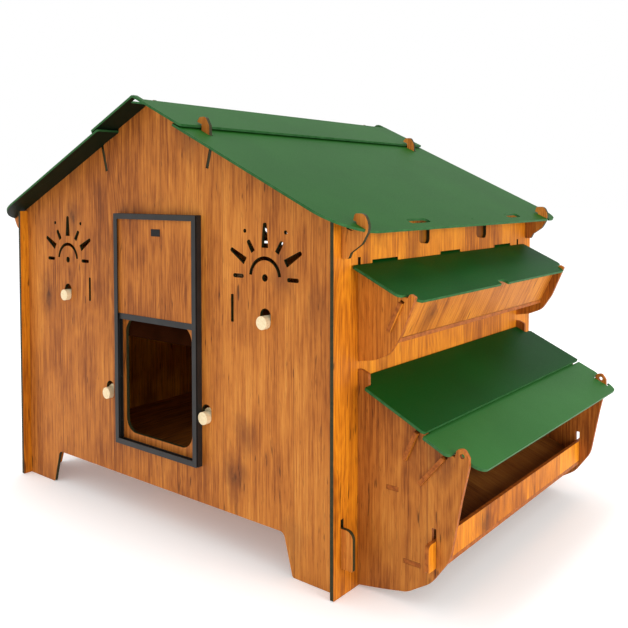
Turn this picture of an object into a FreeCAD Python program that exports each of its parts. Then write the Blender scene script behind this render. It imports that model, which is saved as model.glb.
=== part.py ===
import FreeCAD, Part
import os
import math
from FreeCAD import Vector

# Flat-pack chicken coop of laminate panels that hook into each other.
# Origin: on the ground under the middle of the hut. X to the box side, Y to the back, Z up.
# The pop door is in the front gable, the feed box and the nest box hang on the +X wall.

DIMS = {
    "panel_t": 7.5,        # wood print laminate
    "roof_t": 5.0,         # green laminate
    "plate_t": 3.0,        # strip behind the pop door
    "fit": 0.3,            # clearance between seated panels
    "slot_play": 0.5,      # play on each side of a tab
    "hut_w": 1000.0,       # over the two side walls
    "hut_d": 834.0,        # side wall length
    "wall_top": 672.0,
    "gable_inset": 22.0,   # gable panels stand back from the side wall ends
    "floor_z": 88.0,
    "roof_deg": 25.0,
    "ridge_low": 914.0,    # top plane of the lower roof panels where it meets the centre plane
    "ridge_up": 922.5,     # the same for the upper roof panels
    "eave_x": 559.4,
    "roof_front": 451.0,   # roof edge in front of the hut centre
    "roof_rear": 471.0,
    "lap_x": 122.0,        # upper edge of the lower roof panels
    "cap_x": 147.0,        # lower edge of the upper roof panels
    "ridge_gap": 22.0,     # half width of the ventilation gap along the ridge
    "perch_d": 26.0,
    "perch_len": 814.0,
    "perch_hi_x": 321.0,
    "perch_hi_z": 473.0,
    "peg_x": 159.2,
    "peg_z": 261.0,
    "door_cx": 12.5,
    "door_w": 266.0,
    "door_lo": 157.0,
    "door_hi": 673.0,
    "door_depth": 16.7,
    "rail_w": 12.0,
    "leaf_z": 450.7,
    "leaf_h": 218.5,
    "leaf_inset": 3.6,
    "box_front": 344.0,    # outer face of the front box sides, in front of the hut centre
    "box_rear": 344.0,
    "feed_z": 591.0,       # top plane of the feed lid at the wall
    "feed_reach": 123.5,
    "nest_z": 386.0,       # top plane of the fixed nest roof at the wall
    "nest_lid_z": 377.5,
    "nest_lap": 148.2,
    "nest_reach": 244.1,
}

doc = FreeCAD.newDocument("coop")
sheet = doc.addObject("Spreadsheet::Sheet", "dims")
for row, (alias, value) in enumerate(DIMS.items(), start=1):
    sheet.set("A%d" % row, alias)
    sheet.set("B%d" % row, repr(value))
    sheet.setAlias("B%d" % row, alias)
doc.recompute()

T = DIMS["panel_t"]
FIT = DIMS["fit"]
PLAY = DIMS["slot_play"]
HW = DIMS["hut_w"] / 2
HD = DIMS["hut_d"] / 2
SLOPE = math.radians(DIMS["roof_deg"])
TAN = math.tan(SLOPE)
COS = math.cos(SLOPE)
SIN = math.sin(SLOPE)
ROOF_T = DIMS["roof_t"]
DROP = ROOF_T / COS        # green laminate measured straight down
GABLE_Y = HD - DIMS["gable_inset"]   # outer face of a gable panel
BOX_Y = DIMS["box_front"]
nodes = []


# ---------- outlines ----------

def outline(points):
    """Closed loop of lines, with an arc at every corner that carries a radius."""
    pts = [(Vector(p[0], p[1], 0), p[2] if len(p) > 2 else 0) for p in points]
    count = len(pts)
    joints = []
    for i, (corner, radius) in enumerate(pts):
        before = (pts[i - 1][0] - corner).normalize()
        after = (pts[(i + 1) % count][0] - corner).normalize()
        if radius <= 0:
            joints.append((corner, corner, None))
            continue
        half = before.getAngle(after) / 2
        reach = radius / math.tan(half)
        start = corner + before * reach
        end = corner + after * reach
        middle = (before + after).normalize()
        mid = corner + middle * (radius / math.sin(half) - radius)
        joints.append((start, end, mid))
    edges = []
    for i, (start, end, mid) in enumerate(joints):
        if mid is not None:
            edges.append(Part.Arc(start, mid, end))
        following = joints[(i + 1) % count][0]
        if (following - end).Length > 1e-4:
            edges.append(Part.LineSegment(end, following))
    return edges


def box(x0, y0, x1, y1, radius=0):
    return outline([(x0, y0, radius), (x1, y0, radius), (x1, y1, radius), (x0, y1, radius)])


def circle(x, y, radius):
    return [Part.Circle(Vector(x, y, 0), Vector(0, 0, 1), radius)]


def tall_slot(x, y0, y1, radius):
    """Upright slot with round ends whose arc centres are y0 and y1."""
    return [
        Part.Arc(Vector(x - radius, y0, 0), Vector(x, y0 - radius, 0), Vector(x + radius, y0, 0)),
        Part.LineSegment(Vector(x + radius, y0, 0), Vector(x + radius, y1, 0)),
        Part.Arc(Vector(x + radius, y1, 0), Vector(x, y1 + radius, 0), Vector(x - radius, y1, 0)),
        Part.LineSegment(Vector(x - radius, y1, 0), Vector(x - radius, y0, 0)),
    ]


def arch(x, y, inner, outer, lift):
    """Half ring over the point x, y that stops 'lift' degrees above the horizontal."""
    def at(radius, degrees):
        turn = math.radians(degrees)
        return Vector(x + radius * math.cos(turn), y + radius * math.sin(turn), 0)
    return [
        Part.Arc(at(outer, lift), at(outer, 90), at(outer, 180 - lift)),
        Part.LineSegment(at(outer, 180 - lift), at(inner, 180 - lift)),
        Part.Arc(at(inner, 180 - lift), at(inner, 90), at(inner, lift)),
        Part.LineSegment(at(inner, lift), at(outer, lift)),
    ]


def ray(x, y, degrees, near, far, width, tip_width):
    """Tapered sun ray with a round tip that points away from x, y."""
    turn = math.radians(degrees)
    out = Vector(math.cos(turn), math.sin(turn), 0)
    side = Vector(-out.y, out.x, 0)
    base = Vector(x, y, 0) + out * near
    tip = Vector(x, y, 0) + out * far
    square = [base + side * (width / 2), base - side * (width / 2)]
    rounded = [tip - side * (tip_width / 2), tip + side * (tip_width / 2)]
    return outline([(c.x, c.y, 1.5) for c in square] + [(c.x, c.y, tip_width * 0.42) for c in rounded])


def strip(x0, y0, x1, y1, width):
    """Straight slot of the given width along the line from one point to the other."""
    along = Vector(x1 - x0, y1 - y0, 0).normalize()
    side = Vector(-along.y, along.x, 0) * (width / 2)
    a = Vector(x0, y0, 0)
    b = Vector(x1, y1, 0)
    return outline([(c.x, c.y) for c in (a + side, a - side, b - side, b + side)])


def turned(along_x, along_y):
    """Rotation that lays a flat drawing on the given pair of directions."""
    a = Vector(*along_x).normalize()
    b = Vector(*along_y).normalize()
    c = a.cross(b)
    return FreeCAD.Rotation(FreeCAD.Matrix(a.x, b.x, c.x, 0, a.y, b.y, c.y, 0, a.z, b.z, c.z, 0, 0, 0, 0, 1))


GABLE = turned((1, 0, 0), (0, 0, 1))      # drawing x, y -> X, Z; thickness runs to -Y
WALL = turned((0, 1, 0), (0, 0, 1))       # drawing x, y -> Y, Z; thickness runs to +X
LEVEL = turned((1, 0, 0), (0, 1, 0))      # drawing x, y -> X, Y; thickness runs up
RIGHT_ROOF = turned((0, 1, 0), (COS, 0, -SIN))
LEFT_ROOF = turned((0, -1, 0), (-COS, 0, -SIN))


def leaning(across, up):
    """Board that runs along Y and rises along the direction (across, up)."""
    return turned((0, 1, 0), (across, 0, up))


def sketch_on(body, name, loops):
    sketch = body.newObject("Sketcher::SketchObject", name)
    plane = [f for f in body.Origin.OriginFeatures if f.Role == "XY_Plane"][0]
    sketch.AttachmentSupport = (plane, [""])
    sketch.MapMode = "FlatFace"
    for loop in loops:
        sketch.addGeometry(loop, False)
    return sketch


def place(obj, rotation, spot):
    """spot: three expressions or numbers for x, y, z."""
    obj.Placement = FreeCAD.Placement(Vector(0, 0, 0), rotation)
    for axis, value in zip("xyz", spot):
        if isinstance(value, str):
            obj.setExpression("Placement.Base." + axis, value)
        else:
            base = obj.Placement.Base
            setattr(base, axis, value)
            obj.Placement = FreeCAD.Placement(base, rotation)


def panel(label, rotation, spot, edge, cuts=(), thickness="dims.panel_t"):
    body = doc.addObject("PartDesign::Body", label)
    body.Label = label
    pad = body.newObject("PartDesign::Pad", label + "_sheet")
    pad.Profile = sketch_on(body, label + "_outline", [edge])
    pad.setExpression("Length", thickness)
    body.Tip = pad
    doc.recompute()
    if cuts:
        full = pad.Shape.Volume
        pocket = body.newObject("PartDesign::Pocket", label + "_cuts")
        pocket.Profile = sketch_on(body, label + "_holes", cuts)
        pocket.Type = "Length"
        pocket.Midplane = True
        pocket.Length = 100
        body.Tip = pocket
        doc.recompute()
        assert pocket.Shape.Volume < full - 1, label + ": cuts remove nothing"
    place(body, rotation, spot)
    nodes.append(body)
    return body


# ---------- heights under the roof ----------

def under_low(x):
    return DIMS["ridge_low"] - DROP - TAN * x


def under_up(x):
    return DIMS["ridge_up"] - DROP - TAN * x


def under_feed(x):
    return DIMS["feed_z"] - DROP - TAN * (x - HW)


def under_nest(x):
    return DIMS["nest_z"] - DROP - TAN * (x - HW)


def under_lid(x):
    return DIMS["nest_lid_z"] - DROP - TAN * (x - HW)


# ---------- gable panels ----------

PURLIN_X = 164.0
PURLIN_Z = 768.0
PURLIN_H = 53.0
LEAN = math.radians(15)
RIDGE_LO = 850.0
RIDGE_HI = 910.5


def gable_edge():
    inner = HW - T - PLAY
    step = DIMS["lap_x"] - 3
    half = [
        (366, 80, 12), (388, 0, 5), (inner, 0),
        (inner, 66.5), (HW + 0.5, 66.5), (HW + 0.5, 52, 1), (526, 52, 3), (526, 124, 16), (inner, 124),
        (inner, 612.5), (HW + 0.5, 612.5), (HW + 0.5, 604, 1), (515, 604, 4), (520.5, 615, 3),
        (544, 631, 22), (561, 660, 26), (549, 683.5, 13), (529, 683.5, 5), (525.3, 671.6, 0.8),
        (532.6, 669, 1.2), (533.6, 659, 6), (523, 652.5, 8), (511, 656.5, 4),
        (507.5, under_low(507.5) - FIT, 0.5), (inner, under_low(inner) - FIT),
        (171, under_low(171) - FIT, 1), (171, 853, 12), (160, 871.5, 9), (143, 871.5, 6),
        (135.8, 862.6, 1), (148.6, 857.0, 1), (148.6, under_low(148.6) - FIT, 1),
        (step, under_low(step) - FIT), (step, under_up(step) - FIT),
    ]
    left = [(-p[0],) + tuple(p[1:]) for p in reversed(half)]
    return outline(half + [(0, under_up(0) - FIT)] + left)


def sun(x, z):
    """Sunrise vent: half ring, rays, centre hole, two dashes and two small dots."""
    loops = [arch(x, z, 33.5, 41.0, 6), circle(x, z, 7.2)]
    for degrees, near, far, width, tip in ((90, 57, 105, 17, 9), (58, 57, 83, 11, 9), (122, 57, 83, 11, 9),
                                           (30, 59, 104, 16, 8), (150, 59, 104, 16, 8)):
        loops.append(ray(x, z, degrees, near, far, width, tip))
    for side in (-1, 1):
        loops.append(box(x + side * 69.5 - 14, z - 4, x + side * 69.5 + 14, z + 4, 3.6))
        loops.append(circle(x + side * 52, z + 88, 4.0))
    return loops


def purlin_notch(side):
    """Notch in the gable for a purlin, open at the top."""
    def at(v):
        return side * (PURLIN_X + v * math.sin(LEAN)), PURLIN_Z + v * math.cos(LEAN)
    low = at(-PLAY)
    high = at(PURLIN_H + 16)
    return strip(low[0], low[1], high[0], high[1], T + 2 * PLAY)


def gable_cuts():
    seat = DIMS["perch_d"] / 2 + 0.4
    loops = []
    for side in (-1, 1):
        loops += sun(side * 320.0, 557.5)
        loops.append(purlin_notch(side))
        loops.append(tall_slot(side * DIMS["perch_hi_x"], DIMS["perch_hi_z"], DIMS["perch_hi_z"] + 13, seat))
    return loops


SCREW_Z = (205.0, 305.0, 430.0)
STRIP_LO = 398.0           # lower edge of the strip behind the pop door
SCREW_X = (DIMS["door_cx"] - DIMS["door_w"] / 2 + 6, DIMS["door_cx"] + DIMS["door_w"] / 2 - 6)
SCREWS = [(x, z) for x in SCREW_X for z in SCREW_Z]


def front_cuts():
    seat = DIMS["perch_d"] / 2 + 0.4
    loops = gable_cuts()
    loops.append(box(-100, 183, 115.5, 440, 32))
    for side in (-1, 1):
        loops.append(tall_slot(side * DIMS["peg_x"], DIMS["peg_z"], DIMS["peg_z"] + 13, seat))
        loops.append(box(side * 233.5 - 3.6, 465, side * 233.5 + 3.6, 520, 1))
    loops += [circle(x, z, 2.4) for x, z in SCREWS]
    return loops


panel("front_panel", GABLE, (0.0, "-dims.hut_d / 2 + dims.gable_inset + dims.panel_t", 0.0),
      gable_edge(), front_cuts())
panel("back_panel", GABLE, (0.0, "dims.hut_d / 2 - dims.gable_inset", 0.0), gable_edge(), gable_cuts())


# ---------- side walls ----------

FLOOR_TABS = (-177.0, 177.0)
FLOOR_TAB_W = 80.0
LID_TABS = ((-297.5, -212.5), (-44.5, 40.5), (212.5, 297.0))
FEED_FLOOR_Z = 450.0
FEED_FLOOR_TABS = ((-267.0, -187.0), (187.0, 267.0))


def wall_edge():
    return outline([
        (-HD, 0, 2), (-HD + 110, 0, 5), (-HD + 132, 80, 12), (HD - 132, 80, 12), (HD - 110, 0, 5), (HD, 0, 2),
        (HD, DIMS["wall_top"]), (-HD, DIMS["wall_top"]),
    ])


def wall_cuts(low_slot_top):
    loops = []
    slot = T + 2 * PLAY
    for side in (-1, 1):
        middle = side * (GABLE_Y - T / 2)
        loops.append(box(middle - slot / 2, 66, middle + slot / 2, low_slot_top))
        loops.append(box(middle - slot / 2, 612, middle + slot / 2, 700))
    for middle in FLOOR_TABS:
        low = DIMS["floor_z"]
        loops.append(box(middle - 40.5, low - PLAY, middle + 40.5, low + T + PLAY))
    for y0, y1 in ((-133, -91), (118, 167)):
        loops.append(outline([(y0, 700), (y1, 700), (y1, 614, 10), (y0, 618, 10)]))
    return loops


def box_wall_cuts():
    loops = wall_cuts(140)
    for side in (-1, 1):
        middle = side * (BOX_Y - T / 2)
        for low, high in ((432, 484), (545, 603), (330, 395), (100, 168)):
            loops.append(box(middle - T / 2 - PLAY, low - PLAY, middle + T / 2 + PLAY, high))
    for y0, y1 in LID_TABS:
        loops.append(box(y0 - 1, 575, y1 + 1, 595.5))
    for y0, y1 in FEED_FLOOR_TABS:
        loops.append(box(y0 - PLAY, FEED_FLOOR_Z - PLAY, y1 + PLAY, FEED_FLOOR_Z + T + PLAY))
    loops.append(box(-300, 470, 300, 558, 20))
    loops.append(box(-300, 178, 300, 318, 30))
    return loops


panel("left_wall", WALL, ("-dims.hut_w / 2", 0.0, 0.0), wall_edge(), wall_cuts(125))
panel("right_wall", WALL, ("dims.hut_w / 2 - dims.panel_t", 0.0, 0.0), wall_edge(), box_wall_cuts())


# boards behind the vent notches
for label, spot in (("vent_board_left", "-dims.hut_w / 2 + dims.panel_t + dims.fit"),
                    ("vent_board_right", "dims.hut_w / 2 - 2 * dims.panel_t - dims.fit")):
    panel(label, WALL, (spot, 0.0, 0.0), box(-190, 600, 205, 664, 4))


# ---------- floor, purlins and ridge board ----------

def floor_edge():
    inner = HW - T - FIT
    deep = GABLE_Y - T - FIT
    right = [(inner, -deep)]
    for middle in FLOOR_TABS:
        right += [(inner, middle - 40), (HW, middle - 40), (HW, middle + 40), (inner, middle + 40)]
    right.append((inner, deep))
    left = [(-x, y) for x, y in reversed(right)]
    return outline(right + left)


panel("floor_panel", LEVEL, (0.0, 0.0, "dims.floor_z"), floor_edge())


def purlin(label, side):
    lean = leaning(side * math.sin(LEAN), math.cos(LEAN))
    normal = Vector(math.cos(LEAN), 0, -side * math.sin(LEAN))
    foot = Vector(side * PURLIN_X, 0, PURLIN_Z) - normal * (T / 2)
    reach = GABLE_Y - 0.5
    panel(label, lean, (foot.x, 0.0, foot.z), box(-reach, 0, reach, PURLIN_H, 3))


purlin("purlin_left", -1)
purlin("purlin_right", 1)


def ridge_edge():
    reach = GABLE_Y - T - FIT
    return box(-reach, RIDGE_LO, reach, RIDGE_HI)


panel("ridge_board", WALL, ("-dims.panel_t / 2", 0.0, 0.0), ridge_edge())


# ---------- roof ----------

GREEN = "dims.roof_t"


def down(x):
    """Distance along the slope for a horizontal distance from the centre plane."""
    return x / COS


def low_roof_edge(side):
    front, rear = -DIMS["roof_front"] * side, DIMS["roof_rear"] * side
    top, eave = down(DIMS["lap_x"]), down(DIMS["eave_x"])
    return outline([(front, top, 5), (rear, top, 5), (rear, eave, 60), (front, eave, 92)])


def low_roof_cuts(side):
    loops = []
    for end in (-1, 1):
        middle = end * (GABLE_Y - T / 2)
        u0, u1 = middle - T / 2 - 1, middle + T / 2 + 1
        loops.append(box(u0, down(532.8), u1, down(575)))
        loops.append(box(u0, down(147.8), u1, down(174.5), 1))
    for y0, y1 in ((-228, -153), (200, 268)):
        u0, u1 = sorted((y0 * side, y1 * side))
        loops.append(box(u0, down(525.5), u1, down(541.5), 8))
    loops.append(circle(22 * side, down(538), 2))
    return loops


def up_roof_edge(side):
    front, rear = -DIMS["roof_front"] * side, DIMS["roof_rear"] * side
    peak, gap, low = ROOF_T * TAN + 0.1, down(DIMS["ridge_gap"]), down(DIMS["cap_x"])
    tongue = 12 * side
    return outline([
        (front, peak), (front + tongue, peak), (front + tongue, gap), (rear - tongue, gap),
        (rear - tongue, peak), (rear, peak), (rear, low, 6), (front, low, 6),
    ])


for name, side, turn in (("right", 1, RIGHT_ROOF), ("left", -1, LEFT_ROOF)):
    panel("roof_%s_lower" % name, turn, (0.0, 0.0, "dims.ridge_low"), low_roof_edge(side),
          low_roof_cuts(side), thickness=GREEN)
    panel("roof_%s_upper" % name, turn, (0.0, 0.0, "dims.ridge_up"), up_roof_edge(side), thickness=GREEN)


# ---------- perches ----------

ALONG_Y = turned((1, 0, 0), (0, 0, -1))


def rod(label, radius, length, spot):
    made = doc.addObject("Part::Cylinder", label)
    made.Label = label
    made.setExpression("Radius", radius)
    made.setExpression("Height", length)
    place(made, ALONG_Y, spot)
    return made


for name, across in (("left", "-dims.perch_hi_x"), ("right", "dims.perch_hi_x")):
    nodes.append(rod("perch_upper_" + name, "dims.perch_d / 2", "dims.perch_len",
                     (across, "-dims.perch_len / 2", "dims.perch_hi_z")))

# short pegs beside the pop door, each with a collar behind the gable panel
for name, across in (("left", "-dims.peg_x"), ("right", "dims.peg_x")):
    label = "door_peg_" + name
    peg = doc.addObject("Part::Fuse", label)
    peg.Base = rod(label + "_shaft", "dims.perch_d / 2", "36", (across, "-dims.perch_len / 2", "dims.peg_z"))
    peg.Tool = rod(label + "_collar", "dims.perch_d / 2 + 5", "6",
                   (across, "-dims.hut_d / 2 + dims.gable_inset + dims.panel_t + dims.fit", "dims.peg_z"))
    peg.Label = label
    nodes.append(peg)


# ---------- sliding door ----------

def rail_section():
    """Channel section: x inwards from the outer edge, y forwards from the gable face."""
    w, d = DIMS["rail_w"], DIMS["door_depth"]
    return [(0, 0), (9.5, 0), (9.5, 2), (2.2, 2), (2.2, d - 2), (w, d - 2), (w, d, 0.4), (0, d, 0.4),
            (0, d - 0.9), (1.4, d - 0.9), (1.4, d - 4.1), (0, d - 4.1)]


def rail(label, length, rotation, spot, holes=()):
    """Mitred length of channel. Its drawing plane is the frame face; the section runs along it."""
    body = doc.addObject("PartDesign::Body", label)
    body.Label = label
    profile = body.newObject("Sketcher::SketchObject", label + "_section")
    plane = [f for f in body.Origin.OriginFeatures if f.Role == "XY_Plane"][0]
    profile.AttachmentSupport = (plane, [""])
    profile.MapMode = "FlatFace"
    profile.addGeometry(outline(rail_section()), False)
    pad = body.newObject("PartDesign::Pad", label + "_length")
    pad.Profile = profile
    pad.setExpression("Length", length)
    body.Tip = pad
    doc.recompute()
    full = pad.Shape.Volume
    long = pad.Length.Value
    w = DIMS["rail_w"]
    cutter = body.newObject("Sketcher::SketchObject", label + "_mitres")
    side_plane = [f for f in body.Origin.OriginFeatures if f.Role == "XZ_Plane"][0]
    cutter.AttachmentSupport = (side_plane, [""])
    cutter.MapMode = "FlatFace"
    cutter.addGeometry(outline([(-1, -1), (w + 1, -1), (w + 1, w + 1)]), False)
    cutter.addGeometry(outline([(-1, long + 1), (w + 1, long - w - 1), (w + 1, long + 1)]), False)
    mitre = body.newObject("PartDesign::Pocket", label + "_mitre_cut")
    mitre.Profile = cutter
    mitre.Type = "Length"
    mitre.Midplane = True
    mitre.Length = 60
    body.Tip = mitre
    doc.recompute()
    assert mitre.Shape.Volume < full - 1, label + ": mitres remove nothing"
    if holes:
        full = mitre.Shape.Volume
        drilling = body.newObject("Sketcher::SketchObject", label + "_holes")
        drilling.AttachmentSupport = (side_plane, [""])
        drilling.MapMode = "FlatFace"
        for along in holes:
            drilling.addGeometry(circle(6, along, 2.4), False)
        drill = body.newObject("PartDesign::Pocket", label + "_screw_holes")
        drill.Profile = drilling
        drill.Type = "Length"
        drill.Midplane = True
        drill.Length = 6
        body.Tip = drill
        doc.recompute()
        assert drill.Shape.Volume < full - 1, label + ": no screw holes"
    place(body, rotation, spot)
    nodes.append(body)
    return body


FACE = "-dims.hut_d / 2 + dims.gable_inset"
LEFT_EDGE = "dims.door_cx - dims.door_w / 2"
RIGHT_EDGE = "dims.door_cx + dims.door_w / 2"


TALL = "dims.door_hi - dims.door_lo"
FORWARD = (0, -1, 0)
# the section's x axis points to the middle of the door, its y axis points forwards
rail("door_rail_left", TALL, turned((1, 0, 0), FORWARD), (LEFT_EDGE, FACE, "dims.door_hi"),
     [DIMS["door_hi"] - z for z in SCREW_Z])
rail("door_rail_right", TALL, turned((-1, 0, 0), FORWARD), (RIGHT_EDGE, FACE, "dims.door_lo"),
     [z - DIMS["door_lo"] for z in SCREW_Z])
rail("door_rail_top", "dims.door_w", turned((0, 0, -1), FORWARD), (RIGHT_EDGE, FACE, "dims.door_hi"))
rail("door_rail_bottom", "dims.door_w", turned((0, 0, 1), FORWARD), (LEFT_EDGE, FACE, "dims.door_lo"))

LEAF_W = DIMS["door_w"] - 2 * DIMS["leaf_inset"]
LEAF_BACK = -GABLE_Y - 3.8
panel("door_leaf", GABLE, ("dims.door_cx", LEAF_BACK, "dims.leaf_z"),
      outline([(-LEAF_W / 2, 0), (LEAF_W / 2, 0), (LEAF_W / 2, DIMS["leaf_h"], 2),
               (-LEAF_W / 2, DIMS["leaf_h"], 2)]),
      [box(-10.0, 175, 19.5, 190.5, 1)])
panel("door_leaf_rail", GABLE, ("dims.door_cx", LEAF_BACK, "dims.leaf_z - 12.7"),
      outline([(-LEAF_W / 2, 0, 1), (LEAF_W / 2, 0, 1), (LEAF_W / 2, 12.7), (-LEAF_W / 2, 12.7)]),
      thickness="dims.panel_t + 1")
panel("door_sensor", GABLE, ("dims.door_cx", LEAF_BACK, "dims.leaf_z"),
      box(-9.7, 175.3, 19.2, 190.2, 1), thickness="dims.panel_t + 0.6")

# closes the gap that the lowered leaf leaves at the top of the pop hole
panel("door_back_strip", GABLE, (0.0, "-dims.hut_d / 2 + dims.gable_inset + dims.panel_t + dims.plate_t", 0.0),
      box(SCREW_X[0] - 6, STRIP_LO, SCREW_X[1] + 6, 462, 4),
      [circle(x, z, 2.4) for x, z in SCREWS if z > STRIP_LO], thickness="dims.plate_t")


def screw_set(label, spots):
    """Pan head screws put in from the inside of the hut."""
    members = []
    for i, (x, z) in enumerate(spots):
        through = T + (DIMS["plate_t"] if z > STRIP_LO else 0)
        seat = -GABLE_Y + through
        shank = doc.addObject("Part::Cylinder", "%s_shank%d" % (label, i))
        shank.Radius = 2.0
        shank.Height = through + 1.6
        shank.Placement = FreeCAD.Placement(Vector(x, seat, z), turned((1, 0, 0), (0, 0, 1)))
        head = doc.addObject("Part::Cylinder", "%s_head%d" % (label, i))
        head.Radius = 3.8
        head.Height = 2.4
        head.Placement = FreeCAD.Placement(Vector(x, seat + 2.4, z), turned((1, 0, 0), (0, 0, 1)))
        screw = doc.addObject("Part::Fuse", "%s_screw%d" % (label, i))
        screw.Base = shank
        screw.Tool = head
        members.append(screw)
    group = doc.addObject("Part::Compound", label)
    group.Links = members
    group.Label = label
    nodes.append(group)


# ---------- feed box ----------

LEAN_BOARD = (SIN, COS)


def at_board(foot, direction, v):
    return foot[0] + direction[0] * v, foot[1] + direction[1] * v


FEED_FOOT = (560.5, 460.0)
FEED_BOARD_H = 84.3


def feed_side_edge():
    wall = HW + FIT
    tab = HW - T + FIT
    return outline([
        (wall, 414.5), (536, 421, 30), (566, 434, 40), (590, 470, 40), (620, 540, 3), (609, 545.5, 3),
        (603.5, under_feed(603.5) - FIT), (wall, under_feed(wall) - FIT),
        (tab + 7.2, 585), (tab, 585, 1), (tab, 545), (wall, 545), (wall, 468), (tab, 468), (tab, 432), (wall, 432),
    ])


def feed_side_cuts():
    low = at_board(FEED_FOOT, LEAN_BOARD, 18)
    high = at_board(FEED_FOOT, LEAN_BOARD, 80)
    return [
        strip(low[0], low[1], high[0], high[1], T + 2 * PLAY),
    ]


for label, spot in (("feed_side_front", "-dims.box_front + dims.panel_t"), ("feed_side_back", "dims.box_rear")):
    panel(label, GABLE, (0.0, spot, 0.0), feed_side_edge(), feed_side_cuts())


def cross_board(label, foot, direction, height, tab_lo, tab_hi, stick_out):
    """Leaning board between the two box sides with one tab through each of them."""
    inner = BOX_Y - T - FIT
    outer = BOX_Y + stick_out
    length = math.hypot(*direction)
    unit = (direction[0] / length, direction[1] / length)
    start = Vector(foot[0] - unit[1] * T / 2, 0, foot[1] + unit[0] * T / 2)
    edge = outline([
        (-inner, 0), (inner, 0), (inner, tab_lo), (outer, tab_lo, 2), (outer, tab_hi, 2), (inner, tab_hi),
        (inner, height), (-inner, height), (-inner, tab_hi), (-outer, tab_hi, 2), (-outer, tab_lo, 2),
        (-inner, tab_lo),
    ])
    panel(label, leaning(*unit), (start.x, 0.0, start.z), edge)


cross_board("feed_front_board", FEED_FOOT, LEAN_BOARD, FEED_BOARD_H, 18.5, 76, 7)


def feed_floor_edge():
    """Level board between the feed box sides, with tabs into the wall."""
    inner = BOX_Y - T - FIT
    pts = [(HW + FIT, -inner), (563.5, -inner), (563.5, inner), (HW + FIT, inner)]
    for y0, y1 in reversed(FEED_FLOOR_TABS):
        pts += [(HW + FIT, y1), (HW - T, y1), (HW - T, y0), (HW + FIT, y0)]
    return outline(pts)


def level_board(label, x0, x1, z, tab_x0, tab_x1):
    """Level board between the nest box sides, with a tab through each side."""
    inner = BOX_Y - T - FIT
    panel(label, LEVEL, (0.0, 0.0, z), outline([
        (x0, -inner), (tab_x0, -inner), (tab_x0, -BOX_Y), (tab_x1, -BOX_Y), (tab_x1, -inner), (x1, -inner),
        (x1, inner), (tab_x1, inner), (tab_x1, BOX_Y), (tab_x0, BOX_Y), (tab_x0, inner), (x0, inner),
    ]))


panel("feed_floor", LEVEL, (0.0, 0.0, FEED_FLOOR_Z), feed_floor_edge())

LID_BACK = ROOF_T * TAN + 0.4
LID_SIDE = BOX_Y - T - 1.5          # half width of a lid between the box sides


def on_lid(x):
    """Distance down a lid for a distance from the hut's centre plane."""
    return (x - HW) / COS


def feed_lid_edge():
    front, rear = -365.0, 372.0
    nose, pull = on_lid(601.5), on_lid(HW + DIMS["feed_reach"])
    pts = [(front, LID_BACK, 6)]
    for y0, y1 in LID_TABS:
        pts += [(y0, LID_BACK), (y0, -9, 2), (y1, -9, 2), (y1, LID_BACK)]
    pts += [(rear, LID_BACK, 6), (rear, nose, 16), (LID_SIDE, nose, 1), (LID_SIDE, pull, 14)]
    pts += [(22, pull, 3), (22, pull - 14, 8), (-10, pull - 14, 8), (-10, pull, 3)]
    pts += [(-LID_SIDE, pull, 14), (-LID_SIDE, nose, 1), (front, nose, 12)]
    return outline(pts)


panel("feed_lid", RIGHT_ROOF, ("dims.hut_w / 2", 0.0, "dims.feed_z"), feed_lid_edge(), thickness=GREEN)


# ---------- nest box ----------

NEST_FLOOR_Z = 73.5
CROSS_FOOT = (600.3, 254.8)
CROSS_H = 66.0
BAFFLE_FOOT = (628.0, 217.5)
BAFFLE_DIR = (0.65, 0.76)
BAFFLE_H = 80.0
LIP_X = 655.0
LIP_TOP = 128.0
SLOPE_FOOT = (651.0, 92.0)
SLOPE_DIR = (-0.94, 0.34)


def nest_side_edge():
    wall = HW + FIT
    tab = HW - T + FIT
    hinge = HW + DIMS["nest_lap"] - 3 - ROOF_T * SIN - 0.6
    return outline([
        (wall, 3, 2), (557, 13, 60), (606, 23.5, 40), (653, 53, 50), (689, 103, 60), (709, 208, 60),
        (722.5, 268, 20), (722.5, 284, 6), (713, 297.5, 8), (700, 294, 5), (697, under_lid(697) - FIT, 1),
        (hinge, under_lid(hinge) - FIT), (hinge, under_nest(hinge) - FIT), (523, under_nest(523) - FIT),
        (523, 394, 4), (508, 400, 5), (wall, 400), (wall, 376), (tab, 376, 1), (tab, 330), (wall, 330),
        (wall, 150), (tab, 150), (tab, 100), (wall, 100),
    ])


def nest_side_cuts():
    loops = [circle(710.5, 285, 4.4)]
    for foot, direction, low, high in ((CROSS_FOOT, LEAN_BOARD, 2, 90), (BAFFLE_FOOT, BAFFLE_DIR, 4, 110)):
        length = math.hypot(*direction)
        unit = (direction[0] / length, direction[1] / length)
        a, b = at_board(foot, unit, low - PLAY), at_board(foot, unit, high)
        loops.append(strip(a[0], a[1], b[0], b[1], T + 2 * PLAY))
    loops.append(box(563 - PLAY, 196 - PLAY, 587 + PLAY, 196 + T + PLAY))
    loops.append(box(599 - PLAY, NEST_FLOOR_Z - PLAY, 632 + PLAY, NEST_FLOOR_Z + T + PLAY))
    loops.append(box(LIP_X - PLAY, 81.5, LIP_X + T + PLAY, 150))
    return loops


for label, spot in (("nest_side_front", "-dims.box_front + dims.panel_t"), ("nest_side_back", "dims.box_rear")):
    panel(label, GABLE, (0.0, spot, 0.0), nest_side_edge(), nest_side_cuts())

cross_board("nest_cross_board", CROSS_FOOT, LEAN_BOARD, CROSS_H, 3, 60, 7)
cross_board("nest_baffle", BAFFLE_FOOT, BAFFLE_DIR, BAFFLE_H, 5, 76, 5)
level_board("nest_floor", HW + FIT, LIP_X + T, NEST_FLOOR_Z, 599, 632)
level_board("nest_batten", 555.0, 595.0, 196.0, 563, 587)


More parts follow.
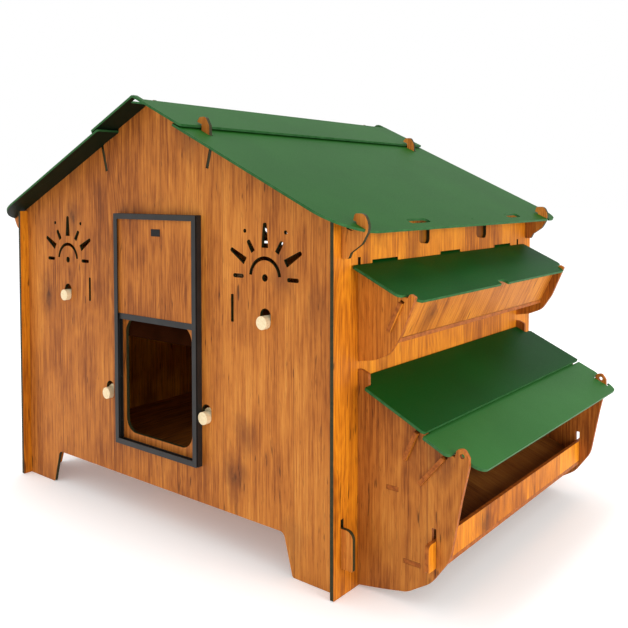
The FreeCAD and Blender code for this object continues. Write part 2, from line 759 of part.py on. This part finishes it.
def lip_edge():
    inner = BOX_Y - T - FIT
    outer = BOX_Y + 24
    low = NEST_FLOOR_Z + T + 0.2
    return outline([
        (-inner, low), (inner, low), (inner, 82), (outer, 82, 3), (outer, 129, 9), (inner, 129), (inner, LIP_TOP),
        (-inner, LIP_TOP), (-inner, 129), (-outer, 129, 9), (-outer, 82, 3), (-inner, 82),
    ])


panel("nest_lip", WALL, (LIP_X, 0.0, 0.0), lip_edge())


def plain_board(label, foot, direction, height):
    inner = BOX_Y - T - FIT
    length = math.hypot(*direction)
    unit = (direction[0] / length, direction[1] / length)
    panel(label, leaning(*unit), (foot[0], 0.0, foot[1]), box(-inner, 0, inner, height))


plain_board("nest_slope", SLOPE_FOOT, SLOPE_DIR, 156)


def nest_roof_edge():
    front, rear = -360.0, 364.0
    ear, low = on_lid(526.0), on_lid(HW + DIMS["nest_lap"])
    return outline([(-LID_SIDE, LID_BACK), (LID_SIDE, LID_BACK), (LID_SIDE, ear), (rear, ear, 4), (rear, low, 6),
                    (front, low, 6), (front, ear, 4), (-LID_SIDE, ear)])


panel("nest_roof_fixed", RIGHT_ROOF, ("dims.hut_w / 2", 0.0, "dims.nest_z"), nest_roof_edge(), thickness=GREEN)

LID_AXIS = on_lid(HW + DIMS["nest_lap"] - 2.9)


def nest_lid_edge():
    """Narrow tail behind the hinge line, open notches for the ears, and a rounded pull edge."""
    front, rear = -361.0, 375.0
    tail, back, edge = LID_AXIS - 12, LID_AXIS + 0.2, on_lid(HW + DIMS["nest_reach"])
    ear, past_ear = on_lid(694.5), on_lid(727.5)
    return outline([
        (-LID_SIDE, tail), (LID_SIDE, tail), (LID_SIDE, back), (rear, back, 3), (rear, ear, 12),
        (LID_SIDE, ear, 1), (LID_SIDE, past_ear, 1), (352, past_ear, 3), (352, edge, 24),
        (-LID_SIDE, edge, 24), (-LID_SIDE, ear, 1),
        (front, ear, 12), (front, back, 3), (-LID_SIDE, back),
    ])


panel("nest_lid", RIGHT_ROOF, ("dims.hut_w / 2", 0.0, "dims.nest_lid_z"), nest_lid_edge(), thickness=GREEN)

screw_set("door_screws", SCREWS)


# ---------- check and export ----------

doc.recompute()
for obj in doc.Objects:
    bad = [word for word in obj.State if word in ("Invalid", "Error")]
    assert not bad, obj.Label + ": " + ",".join(bad)
os.makedirs("parts", exist_ok=True)
for node in nodes:
    shape = node.Shape
    assert not shape.isNull() and shape.isValid(), node.Label + ": bad shape"
    shape.exportStep(os.path.join("parts", node.Label + ".step"))
print(len(nodes), "parts")
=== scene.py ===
"""Looks, lights and camera for the chicken coop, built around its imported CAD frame.

Metres, +Z up, front at -Y.
"""

import math

import bpy
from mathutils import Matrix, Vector


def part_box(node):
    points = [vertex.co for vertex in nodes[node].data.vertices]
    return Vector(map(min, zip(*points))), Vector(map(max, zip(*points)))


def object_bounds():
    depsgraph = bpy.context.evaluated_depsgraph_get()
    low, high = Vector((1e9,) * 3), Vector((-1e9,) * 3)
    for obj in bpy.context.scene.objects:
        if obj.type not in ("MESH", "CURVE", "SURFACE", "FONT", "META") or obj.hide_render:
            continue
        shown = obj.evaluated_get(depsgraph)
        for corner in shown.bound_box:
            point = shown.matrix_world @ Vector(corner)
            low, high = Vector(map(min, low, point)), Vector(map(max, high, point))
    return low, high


X, Y, Z = Vector((1, 0, 0)), Vector((0, 1, 0)), Vector((0, 0, 1))
MIX_FACTOR, MIX_FIRST, MIX_SECOND, MIX_RESULT = 0, 6, 7, 2      # sockets of a colour Mix node


def linear(red, green, blue):
    """A colour given as 0-255 screen values, as linear light with alpha."""
    channels = [c / 255 for c in (red, green, blue)]
    return [c / 12.92 if c <= 0.04045 else ((c + 0.055) / 1.055) ** 2.4 for c in channels] + [1.0]


class Graph:
    """Short calls for building a node tree."""

    def __init__(self, tree):
        self.tree = tree

    def put(self, socket, value):
        if isinstance(value, bpy.types.NodeSocket):
            self.tree.links.new(value, socket)
        else:
            socket.default_value = value

    def node(self, kind, inputs=None, **settings):
        made = self.tree.nodes.new(kind)
        for name, value in settings.items():
            setattr(made, name, value)
        for key, value in (inputs or {}).items():
            self.put(made.inputs[key], value)
        return made

    def math(self, operation, *values):
        made = self.node("ShaderNodeMath", operation=operation)
        for socket, value in zip(made.inputs, values):
            self.put(socket, value)
        return made.outputs[0]

    def vector(self, x, y, z):
        return self.node("ShaderNodeCombineXYZ", {"X": x, "Y": y, "Z": z}).outputs[0]

    def place(self):
        """A point's place on its own board, in metres."""
        return self.node("ShaderNodeTexCoord").outputs["Object"]

    def surface_normal(self):
        return self.node("ShaderNodeTexCoord").outputs["Normal"]

    def along(self, vector, axis):
        """How far a vector reaches along an axis."""
        inputs = {0: vector, 1: axis}
        return self.node("ShaderNodeVectorMath", inputs, operation="DOT_PRODUCT").outputs["Value"]

    def bump(self, height, strength, distance):
        inputs = {"Strength": strength, "Distance": distance, "Height": height}
        return self.node("ShaderNodeBump", inputs).outputs[0]

    def noise(self, vector, scale=1.0, detail=2.0, roughness=0.5, distortion=0.0):
        settings = {"Vector": vector, "Scale": scale, "Detail": detail, "Roughness": roughness,
                    "Distortion": distortion}
        return self.node("ShaderNodeTexNoise", settings).outputs[0]

    def step(self, value, low, high, to_low=0.0, to_high=1.0):
        """value eased from to_low at low to to_high at high."""
        ranges = {"Value": value, "From Min": low, "From Max": high, "To Min": to_low, "To Max": to_high}
        return self.node("ShaderNodeMapRange", ranges, interpolation_type="SMOOTHSTEP").outputs[0]

    def ramp(self, factor, stops):
        made = self.node("ShaderNodeValToRGB", {"Fac": factor})
        elements = made.color_ramp.elements
        while len(elements) < len(stops):
            elements.new(0.5)
        for element, (position, colour) in zip(elements, stops):
            element.position = position
            element.color = colour
        return made.outputs[0]

    def mix(self, factor, first, second, blend="MIX"):
        made = self.node("ShaderNodeMix", data_type="RGBA", blend_type=blend)
        for index, value in ((MIX_FACTOR, factor), (MIX_FIRST, first), (MIX_SECOND, second)):
            self.put(made.inputs[index], value)
        return made.outputs[MIX_RESULT]


# ---------------------------------------------------------------- printed wood

PLANK_WIDTH = 0.185
PLANK_SHUFFLE = 37.0        # planks lie up to this far apart in the noise
RING_RATE = 230.0           # radians of the figure's wave per unit of its slow height
BOARD_SEED = 7.3            # turns a board's place along its thickness into its own pattern
TONE_BASE = -0.245          # the tone before the grain is added to it
WARM_RED = 0.08             # a full painted-light warmth adds this share of red
WARM_BLUE = 0.85            # and takes this share of blue away

# Each noise: its cells per metre across and along the grain, its detail and its roughness.
FIBRE = (350.0, 11.0, 3.0, 0.65)
STREAK = (110.0, 2.2, 4.0, 0.62)
CLOUD = (12.0, 5.0, 4.0, 0.6)
PORE = (300.0, 36.0, 3.0, 0.6)
FIGURE_HEIGHT = (7.0, 1.25, 1.5, 0.4)
FIGURE_PATCH = (4.0, 1.5, 1.0, 0.5)
KNOT_WANDER = (46.0, 22.0, 4.0, 0.6)
CRACK_LINE = (150.0, 16.0, 2.0, 0.5)
CRACK_PATCH = (14.0, 9.0, 1.0, 0.5)

KNOTS_PER_METRE = (9.0, 5.6)        # cells across and along the grain that may hold a knot
PRINT_STOPS = (
    (0.24, linear(96, 46, 18)),
    (0.40, linear(150, 82, 32)),
    (0.52, linear(188, 112, 48)),
    (0.64, linear(208, 132, 60)),
    (0.82, linear(226, 156, 84)),
)
KNOT_HALO = linear(112, 58, 30)
KNOT_HEART = linear(66, 36, 24)
CRACK = linear(62, 30, 14)
DARK_CORE = (linear(34, 40, 22), linear(58, 50, 26))
BROWN_CORE = (linear(132, 68, 20), linear(172, 96, 34))


class Print:
    """The wood print's pattern: its graph and where a point lies across and along the grain."""

    def __init__(self, tree):
        self.g = Graph(tree)
        given = self.g.node("NodeGroupInput").outputs
        self.across, self.along, self.seed = given[0], given[1], given[2]
        g = self.g
        plank_place = g.math("ADD", g.math("DIVIDE", self.across, PLANK_WIDTH), self.seed)
        self.in_plank = g.math("FRACT", plank_place)
        plank = g.math("FLOOR", plank_place)
        self.chance = g.node("ShaderNodeTexWhiteNoise", {"W": plank}, noise_dimensions="1D").outputs[0]
        self.layer = g.math("MULTIPLY_ADD", self.chance, PLANK_SHUFFLE, self.seed)

    def stretched(self, per_metre_across, per_metre_along, layer):
        """A place in a pattern that is drawn out along the grain."""
        g = self.g
        across = g.math("MULTIPLY", self.across, per_metre_across)
        return g.vector(across, g.math("MULTIPLY", self.along, per_metre_along), layer)

    def grain(self, noise, layer):
        per_metre_across, per_metre_along, detail, roughness = noise
        place = self.stretched(per_metre_across, per_metre_along, layer)
        return self.g.noise(place, detail=detail, roughness=roughness)

    def figure(self):
        """Cathedral figure: contours of a slow height that is much longer than it is wide."""
        g = self.g
        slow = self.grain(FIGURE_HEIGHT, self.layer)
        rings = g.math("MULTIPLY_ADD", g.math("SINE", g.math("MULTIPLY", slow, RING_RATE)), 0.5, 0.5)
        figured = g.step(self.grain(FIGURE_PATCH, self.layer), 0.44, 0.60)
        return g.math("MULTIPLY", rings, figured)

    def knots(self):
        """(halo, heart) of dark smudges, only in some cells and drawn out along the grain."""
        g = self.g
        spread = {"Vector": self.stretched(*KNOTS_PER_METRE, self.seed), "Scale": 1.0, "Randomness": 1.0}
        cells = g.node("ShaderNodeTexVoronoi", spread, feature="F1")
        pick = g.node("ShaderNodeSeparateColor", {"Color": cells.outputs["Color"]}).outputs
        rare = g.step(pick[0], 0.48, 0.56)
        rarer = g.math("MULTIPLY", rare, g.step(pick[1], 0.3, 0.6))
        wander = self.grain(KNOT_WANDER, self.layer)
        distance = g.math("SUBTRACT", cells.outputs["Distance"], 0.21)
        reach = g.math("MULTIPLY_ADD", wander, 0.42, distance)
        halo = g.math("MULTIPLY", g.step(reach, 0.40, 0.06), rare)
        return halo, g.math("MULTIPLY", g.step(reach, 0.13, 0.02), rarer)

    def cracks(self):
        """Drying cracks: short thin dark lines along the grain, in patches."""
        g = self.g
        line = self.grain(CRACK_LINE, self.seed)
        patch = self.grain(CRACK_PATCH, self.seed)
        return g.math("MULTIPLY", g.step(line, 0.36, 0.30), g.step(patch, 0.50, 0.60))

    def seams(self, cloud):
        """Faint lines where two planks meet."""
        g = self.g
        off_middle = g.math("ABSOLUTE", g.math("SUBTRACT", self.in_plank, 0.5))
        return g.math("MULTIPLY", g.step(off_middle, 0.4915, 0.4975), g.step(cloud, 0.40, 0.60, 0.15, 0.55))


def print_group():
    """Node group: broad upright planks with grain, cracks and smudged knots.

    It takes metres across (U) and along (V) the grain and a number of the board's own (Seed).
    """
    tree = bpy.data.node_groups.new("wood_print_pattern", "ShaderNodeTree")
    for name in ("U", "V", "Seed"):
        tree.interface.new_socket(name, in_out="INPUT", socket_type="NodeSocketFloat")
    tree.interface.new_socket("Color", in_out="OUTPUT", socket_type="NodeSocketColor")
    tree.interface.new_socket("Height", in_out="OUTPUT", socket_type="NodeSocketFloat")
    wood = Print(tree)
    g = wood.g

    fibre = wood.grain(FIBRE, wood.layer)
    streak = wood.grain(STREAK, wood.layer)
    cloud = wood.grain(CLOUD, wood.layer)
    pore = wood.grain(PORE, wood.layer)
    print_tone_and_painted_light = TONE_BASE
    parts = ((fibre, 0.58), (streak, 0.36), (cloud, 0.50), (wood.chance, 0.14), (wood.figure(), -0.055))
    for part, share in parts:
        print_tone_and_painted_light = g.math("MULTIPLY_ADD", part, share, print_tone_and_painted_light)

    halo, heart = wood.knots()
    crack = wood.cracks()
    colour = g.ramp(print_tone_and_painted_light, PRINT_STOPS)
    layers = ((g.step(pore, 0.42, 0.30), 0.26, CRACK), (halo, 0.60, KNOT_HALO), (heart, 0.72, KNOT_HEART),
              (crack, 0.72, CRACK))
    for mask, strength, shade in layers:
        colour = g.mix(g.math("MULTIPLY", mask, strength), colour, shade)
    colour = g.mix(wood.seams(cloud), colour, KNOT_HALO)

    result = g.node("NodeGroupOutput")
    g.put(result.inputs[0], colour)
    g.put(result.inputs[1], g.math("MULTIPLY_ADD", fibre, 0.6, g.math("MULTIPLY", crack, -0.8)))
    return tree


PRINT = print_group()


# ---------------------------------------------------------------- materials

def new_material(name):
    material = bpy.data.materials.new(name)
    material.use_nodes = True
    return material, Graph(material.node_tree), material.node_tree.nodes["Principled BSDF"].inputs


def face_mask(g, thin):
    """1 on a panel's two broad faces and 0 on its cut edges."""
    return g.step(g.math("ABSOLUTE", g.along(g.surface_normal(), thin)), 0.55, 0.75)


def printed_wood(name, across, along, thin, cores, warmth, brightness):
    """Compact laminate with a wood print on its faces, tinted per board with painted light and shade, and a
    plain core at its edges.
    """
    material, g, shader = new_material(name)
    place = g.place()
    pattern = g.node("ShaderNodeGroup", node_tree=PRINT)
    g.put(pattern.inputs["U"], g.along(place, across))
    g.put(pattern.inputs["V"], g.along(place, along))
    g.put(pattern.inputs["Seed"], g.math("MULTIPLY", g.along(place, thin), BOARD_SEED))
    # Painted light: the print is warmed and brightened or darkened per board for the light and shade that
    # falls on it.
    painted_light_tint = (1 + WARM_RED * warmth, 1, 1 - WARM_BLUE * warmth)
    print_tone_and_painted_light = [brightness * channel for channel in painted_light_tint] + [1.0]
    colour = g.mix(1.0, pattern.outputs["Color"], print_tone_and_painted_light, "MULTIPLY")
    core = g.ramp(g.noise(place, scale=120.0, detail=3.0), ((0.35, cores[0]), (0.7, cores[1])))
    g.put(shader["Base Color"], g.mix(face_mask(g, thin), core, colour))
    speckle = g.noise(place, scale=900.0)
    g.put(shader["Roughness"], g.step(speckle, 0.2, 0.8, 0.46, 0.60))
    shader["Specular IOR Level"].default_value = 0.16
    g.put(shader["Normal"], g.bump(pattern.outputs["Height"], 0.18, 0.0006))
    return material


GREEN_EDGE = ((0.3, linear(34, 80, 38)), (0.7, linear(54, 98, 56)))
GREEN_UNDERSIDE_PAINTED_SHADE = linear(9, 22, 9)


def green_board(name, thin, deep, pale, gloss):
    """Green laminate with a fine satin texture, greyer cut edges and painted shade that makes its underside
    near black.
    """
    material, g, shader = new_material(name)
    place = g.place()
    mottle = g.noise(place, scale=5.0, detail=4.0, roughness=0.6)
    colour = g.ramp(mottle, ((0.30, deep), (0.70, pale)))
    edge = g.ramp(g.noise(place, scale=80.0, detail=3.0), GREEN_EDGE)
    # Painted shade: faces that look down, against the board's thin way, are coloured near black.
    outer = g.step(g.along(g.surface_normal(), thin), -0.6, -0.3)
    colour = g.mix(outer, GREEN_UNDERSIDE_PAINTED_SHADE, colour)
    g.put(shader["Base Color"], g.mix(face_mask(g, thin), edge, colour))
    grain = g.noise(place, scale=700.0, detail=3.0)
    g.put(shader["Roughness"], g.step(grain, 0.25, 0.75, 0.44, 0.56))
    shader["Specular IOR Level"].default_value = gloss
    g.put(shader["Normal"], g.bump(grain, 0.12, 0.0004))
    return material


GROOVE_FADE = 0.0002
GROOVE_PAINTED_SHADE = linear(5, 5, 5)


def powder_coat(name, dark, light, gloss, groove_painted_shade_depths=None):
    """Satin powder coat of the door unit, with painted shade, nearly black, between the two depths of its
    groove.
    """
    material, g, shader = new_material(name)
    place = g.place()
    grain = g.noise(place, scale=1600.0)
    colour = g.ramp(g.noise(place, scale=30.0, detail=3.0), ((0.3, dark), (0.7, light)))
    # Painted shade: near black between the groove's two depths.
    if groove_painted_shade_depths:
        near, far = groove_painted_shade_depths
        depth = g.along(place, Y)
        past_near = g.step(depth, near, near + GROOVE_FADE)
        before_far = g.step(depth, far, far - GROOVE_FADE)
        colour = g.mix(g.math("MULTIPLY", past_near, before_far), colour, GROOVE_PAINTED_SHADE)
    g.put(shader["Base Color"], colour)
    g.put(shader["Roughness"], g.step(grain, 0.3, 0.7, 0.36, 0.48))
    shader["Specular IOR Level"].default_value = gloss
    g.put(shader["Normal"], g.bump(grain, 0.15, 0.0002))
    return material


def turned_pine():
    """Pale round wood with fine grain along Y."""
    material, g, shader = new_material("pale_perch_wood")
    stretch = {"Vector": g.place(), "Scale": (1.0, 0.03, 1.0)}
    drawn_out = g.node("ShaderNodeMapping", stretch).outputs[0]
    rings = g.noise(drawn_out, scale=260.0, detail=3.0, distortion=0.6)
    colour = g.ramp(rings, ((0.25, linear(222, 196, 148)), (0.75, linear(240, 222, 184))))
    g.put(shader["Base Color"], colour)
    g.put(shader["Roughness"], g.step(rings, 0.2, 0.8, 0.50, 0.66))
    g.put(shader["Normal"], g.bump(rings, 0.2, 0.0004))
    return material


def screw_steel():
    material, g, shader = new_material("zinc_screw")
    brushed = g.noise(g.place(), scale=900.0)
    g.put(shader["Base Color"], g.ramp(brushed, ((0.3, linear(70, 68, 66)), (0.7, linear(96, 94, 92)))))
    g.put(shader["Roughness"], g.step(brushed, 0.2, 0.8, 0.30, 0.45))
    shader["Metallic"].default_value = 0.8
    return material


def sensor_plastic():
    material, g, shader = new_material("dark_sensor_plastic")
    grain = g.noise(g.place(), scale=1200.0)
    g.put(shader["Base Color"], g.ramp(grain, ((0.3, linear(9, 8, 9)), (0.7, linear(15, 14, 15)))))
    g.put(shader["Roughness"], g.step(grain, 0.2, 0.8, 0.34, 0.46))
    shader["Specular IOR Level"].default_value = 0.2
    return material


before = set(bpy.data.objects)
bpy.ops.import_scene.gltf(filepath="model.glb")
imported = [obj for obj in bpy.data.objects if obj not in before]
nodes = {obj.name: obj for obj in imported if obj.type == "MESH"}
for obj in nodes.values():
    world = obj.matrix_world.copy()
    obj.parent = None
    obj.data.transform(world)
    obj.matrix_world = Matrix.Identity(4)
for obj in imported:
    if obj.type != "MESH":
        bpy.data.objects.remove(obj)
cad_low, cad_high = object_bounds()


# ---------------------------------------------------------------- which finish goes on which board

LEVEL = 0.99            # upright share of its thickness from which a board counts as level
SIDEWAYS = 0.5          # sideways share from which it counts as facing left or right


def thin_axis(name):
    """The direction across a board's thickness: the way its two broad faces look."""
    areas = {}
    for face in nodes[name].data.polygons:
        way = face.normal if max(face.normal, key=abs) > 0 else -face.normal
        key = tuple(round(part, 2) + 0.0 for part in way)
        total, _ = areas.get(key, (0.0, way))
        areas[key] = (total + face.area, way.copy())
    return max(areas.values(), key=lambda pair: pair[0])[1].normalized()


def grain_axes(thin):
    """(across, along): the print stands upright on a board, and runs front to back on a level one."""
    if abs(thin.z) > LEVEL:
        return X, Y
    across = Z.cross(thin).normalized()
    return across, thin.cross(across).normalized()


def dress(name, material):
    """Puts one material on every slot of a CAD node."""
    mesh_object = nodes[name]
    if not mesh_object.material_slots:
        mesh_object.data.materials.append(material)
    for slot in mesh_object.material_slots:
        slot.material = material


# Lit and shaded copies of one green laminate, painted lighter or darker for the light each board gets;
# outer is the nest lid, painted lighter as it sits out in the light. Each: its deep green, its pale green
# and its gloss.
LIT_AND_SHADED_GREENS = {
    "sunlit": (linear(15, 68, 12), linear(21, 76, 17), 0.08),
    "outer": (linear(30, 84, 28), linear(38, 93, 36), 0.14),
    "shaded": (linear(1, 58, 12), linear(3, 66, 16), 0.07),
}
GREEN_BOARDS = {
    "roof_left_lower": "sunlit", "roof_left_upper": "sunlit", "roof_right_lower": "sunlit",
    "roof_right_upper": "sunlit", "feed_lid": "shaded", "nest_roof_fixed": "shaded", "nest_lid": "outer",
}
BROWN_EDGED = (
    "feed_floor", "feed_front_board", "feed_side_front", "feed_side_back", "floor_panel", "nest_baffle",
    "nest_batten", "nest_cross_board", "nest_floor", "nest_lip", "nest_side_front", "nest_side_back",
    "nest_slope",
)
# Painted light and shade on the print: each board's print is warmed and brightened or darkened for the
# light it gets. The first entry that fits a board's name gives its painted light; the rest go by the way
# they face.
NAMED_PAINTED_LIGHT = (
    # Nest slope and floor, inside the nest, and the vent boards behind the wall's notches are printed dark
    # as painted shade.
    (("nest_slope", "nest_floor"), {"warmth": 0.2, "brightness": 0.25}),
    (("nest_baffle", "nest_cross_board", "feed_front_board"), {"warmth": 0.6, "brightness": 0.85}),
    (("vent_board",), {"warmth": 0.9, "brightness": 0.42}),
    (("nest_side",), {"warmth": 0.3, "brightness": 0.74}),
    (("feed_side",), {"warmth": 0.5, "brightness": 0.98}),
)
# Boards facing the key light at the side are printed warmer and brighter than those facing the front, as
# painted light.
FRONT_PAINTED_LIGHT = {"warmth": 0.28, "brightness": 0.88}
SIDE_PAINTED_LIGHT = {"warmth": 0.95, "brightness": 0.98}
shared_materials = {}


def shared(kind, thin, **print_tone_and_painted_light):
    """One material for all the boards that face the same way and get the same painted light and shade."""
    key = (kind,) + tuple(round(part, 2) for part in thin) + tuple(sorted(print_tone_and_painted_light.items()))
    if key not in shared_materials:
        if kind in LIT_AND_SHADED_GREENS:
            name = "green_laminate_lit_and_shaded_%d" % len(shared_materials)
            shared_materials[key] = green_board(name, thin, *LIT_AND_SHADED_GREENS[kind])
        else:
            across, along = grain_axes(thin)
            cores = BROWN_CORE if kind == "brown_edged" else DARK_CORE
            name = "wood_print_%d" % len(shared_materials)
            shared_materials[key] = printed_wood(name, across, along, thin, cores, **print_tone_and_painted_light)
    return shared_materials[key]


def board_painted_light(name, thin):
    """How warm and bright the print is painted on one board, for the light and shade that falls on it."""
    for starts, print_tone_and_painted_light in NAMED_PAINTED_LIGHT:
        if name.startswith(starts):
            return print_tone_and_painted_light
    return SIDE_PAINTED_LIGHT if abs(thin.x) > SIDEWAYS else FRONT_PAINTED_LIGHT


# Painted shade: the groove round the door unit, just behind its front face, is coloured near black for the
# shade that falls in it.
GROOVE_NEAR, GROOVE_FAR = 0.0010, 0.0041
rail_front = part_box("door_rail_right")[0][1]
groove = (rail_front + GROOVE_NEAR, rail_front + GROOVE_FAR)
frame_metal = powder_coat("anthracite_powder", linear(28, 27, 26), linear(38, 37, 36), 0.3, groove)
# Painted shade: the strip behind the pop hole is coloured brown-black with no gloss, like the dark inside
# of the coop.
shaded_metal = powder_coat("door_strip_painted_shade", linear(30, 11, 3), linear(40, 16, 5), 0.0)
round_wood = turned_pine()
fittings = {"door_back_strip": shaded_metal, "door_screws": screw_steel(), "door_sensor": sensor_plastic()}

for name in sorted(nodes):
    if name in fittings:
        dress(name, fittings[name])
    elif name.startswith("door_rail") or name == "door_leaf_rail":
        dress(name, frame_metal)
    elif name.startswith(("perch", "door_peg")):
        dress(name, round_wood)
    elif name in GREEN_BOARDS:
        dress(name, shared(GREEN_BOARDS[name], thin_axis(name)))
    else:
        thin = thin_axis(name)
        kind = "brown_edged" if name in BROWN_EDGED else "dark_edged"
        dress(name, shared(kind, thin, **board_painted_light(name, thin)))


# ---------------------------------------------------------------- floor, lights and camera

FLOOR_REACH = 30.0
FLOOR_GAP = 0.0005
COOP_MIDDLE = Vector((0.0, 0.0, 0.45))
CAMERA_PLACE = (1.3021, -1.4752, 0.7197)
CAMERA_SENSOR = 36.0        # mm
CAMERA_LENS = 44.25         # mm
CAMERA_SHIFT = -0.1427      # in widths of the picture
CAMERA_DROP = 2.383         # degrees below level
CAMERA_TURN = 38.62         # degrees to the left of looking along +Y


def area_light(name, spot, size, power, colour=(1.0, 1.0, 1.0)):
    """A rectangular light that looks at the middle of the coop."""
    data = bpy.data.lights.new(name, "AREA")
    data.shape = "RECTANGLE"
    data.size, data.size_y = size
    data.energy = power
    data.color = colour
    lamp = bpy.data.objects.new(name, data)
    lamp.location = spot
    lamp.rotation_euler = (COOP_MIDDLE - Vector(spot)).to_track_quat("-Z", "Y").to_euler()
    bpy.context.scene.collection.objects.link(lamp)


def studio_floor():
    """Pale floor just under the coop, with a faint glow that lifts its shadows."""
    mesh = bpy.data.meshes.new("studio_floor")
    z = cad_low.z - FLOOR_GAP
    corners = [(sx * FLOOR_REACH, sy * FLOOR_REACH, z) for sx, sy in ((-1, -1), (1, -1), (1, 1), (-1, 1))]
    mesh.from_pydata(corners, [], [(0, 1, 2, 3)])
    floor = bpy.data.objects.new("studio_floor", mesh)
    bpy.context.scene.collection.objects.link(floor)
    material, _, shader = new_material("pale_floor")
    shader["Base Color"].default_value = (0.93, 0.93, 0.93, 1.0)
    shader["Emission Color"].default_value = (1.0, 1.0, 1.0, 1.0)
    shader["Emission Strength"].default_value = 0.18
    shader["Roughness"].default_value = 0.9
    shader["Specular IOR Level"].default_value = 0.1
    mesh.materials.append(material)


def studio_world(strength):
    world = bpy.data.worlds.new("studio_world")
    world.use_nodes = True
    background = world.node_tree.nodes["Background"].inputs
    background["Color"].default_value = (1.0, 1.0, 1.0, 1.0)
    background["Strength"].default_value = strength
    bpy.context.scene.world = world


def photo_camera():
    """The photograph's own view: from the front right, at a height between the eaves and the ridge."""
    data = bpy.data.cameras.new("camera")
    data.sensor_width = CAMERA_SENSOR
    data.lens = CAMERA_LENS
    data.shift_y = CAMERA_SHIFT
    data.clip_end = 100.0
    camera = bpy.data.objects.new("camera", data)
    camera.location = CAMERA_PLACE
    camera.rotation_euler = (math.radians(90 - CAMERA_DROP), 0.0, math.radians(CAMERA_TURN))
    bpy.context.scene.collection.objects.link(camera)
    bpy.context.scene.camera = camera


studio_floor()
studio_world(1.0)
area_light("key_right", spot=(3.6, -0.4, 0.9), size=(1.6, 1.2), power=60.0, colour=(1.0, 0.97, 0.92))
area_light("top", spot=(-0.3, 0.0, 3.6), size=(1.4, 2.0), power=70.0)
photo_camera()
bpy.context.scene.view_settings.view_transform = "Standard"
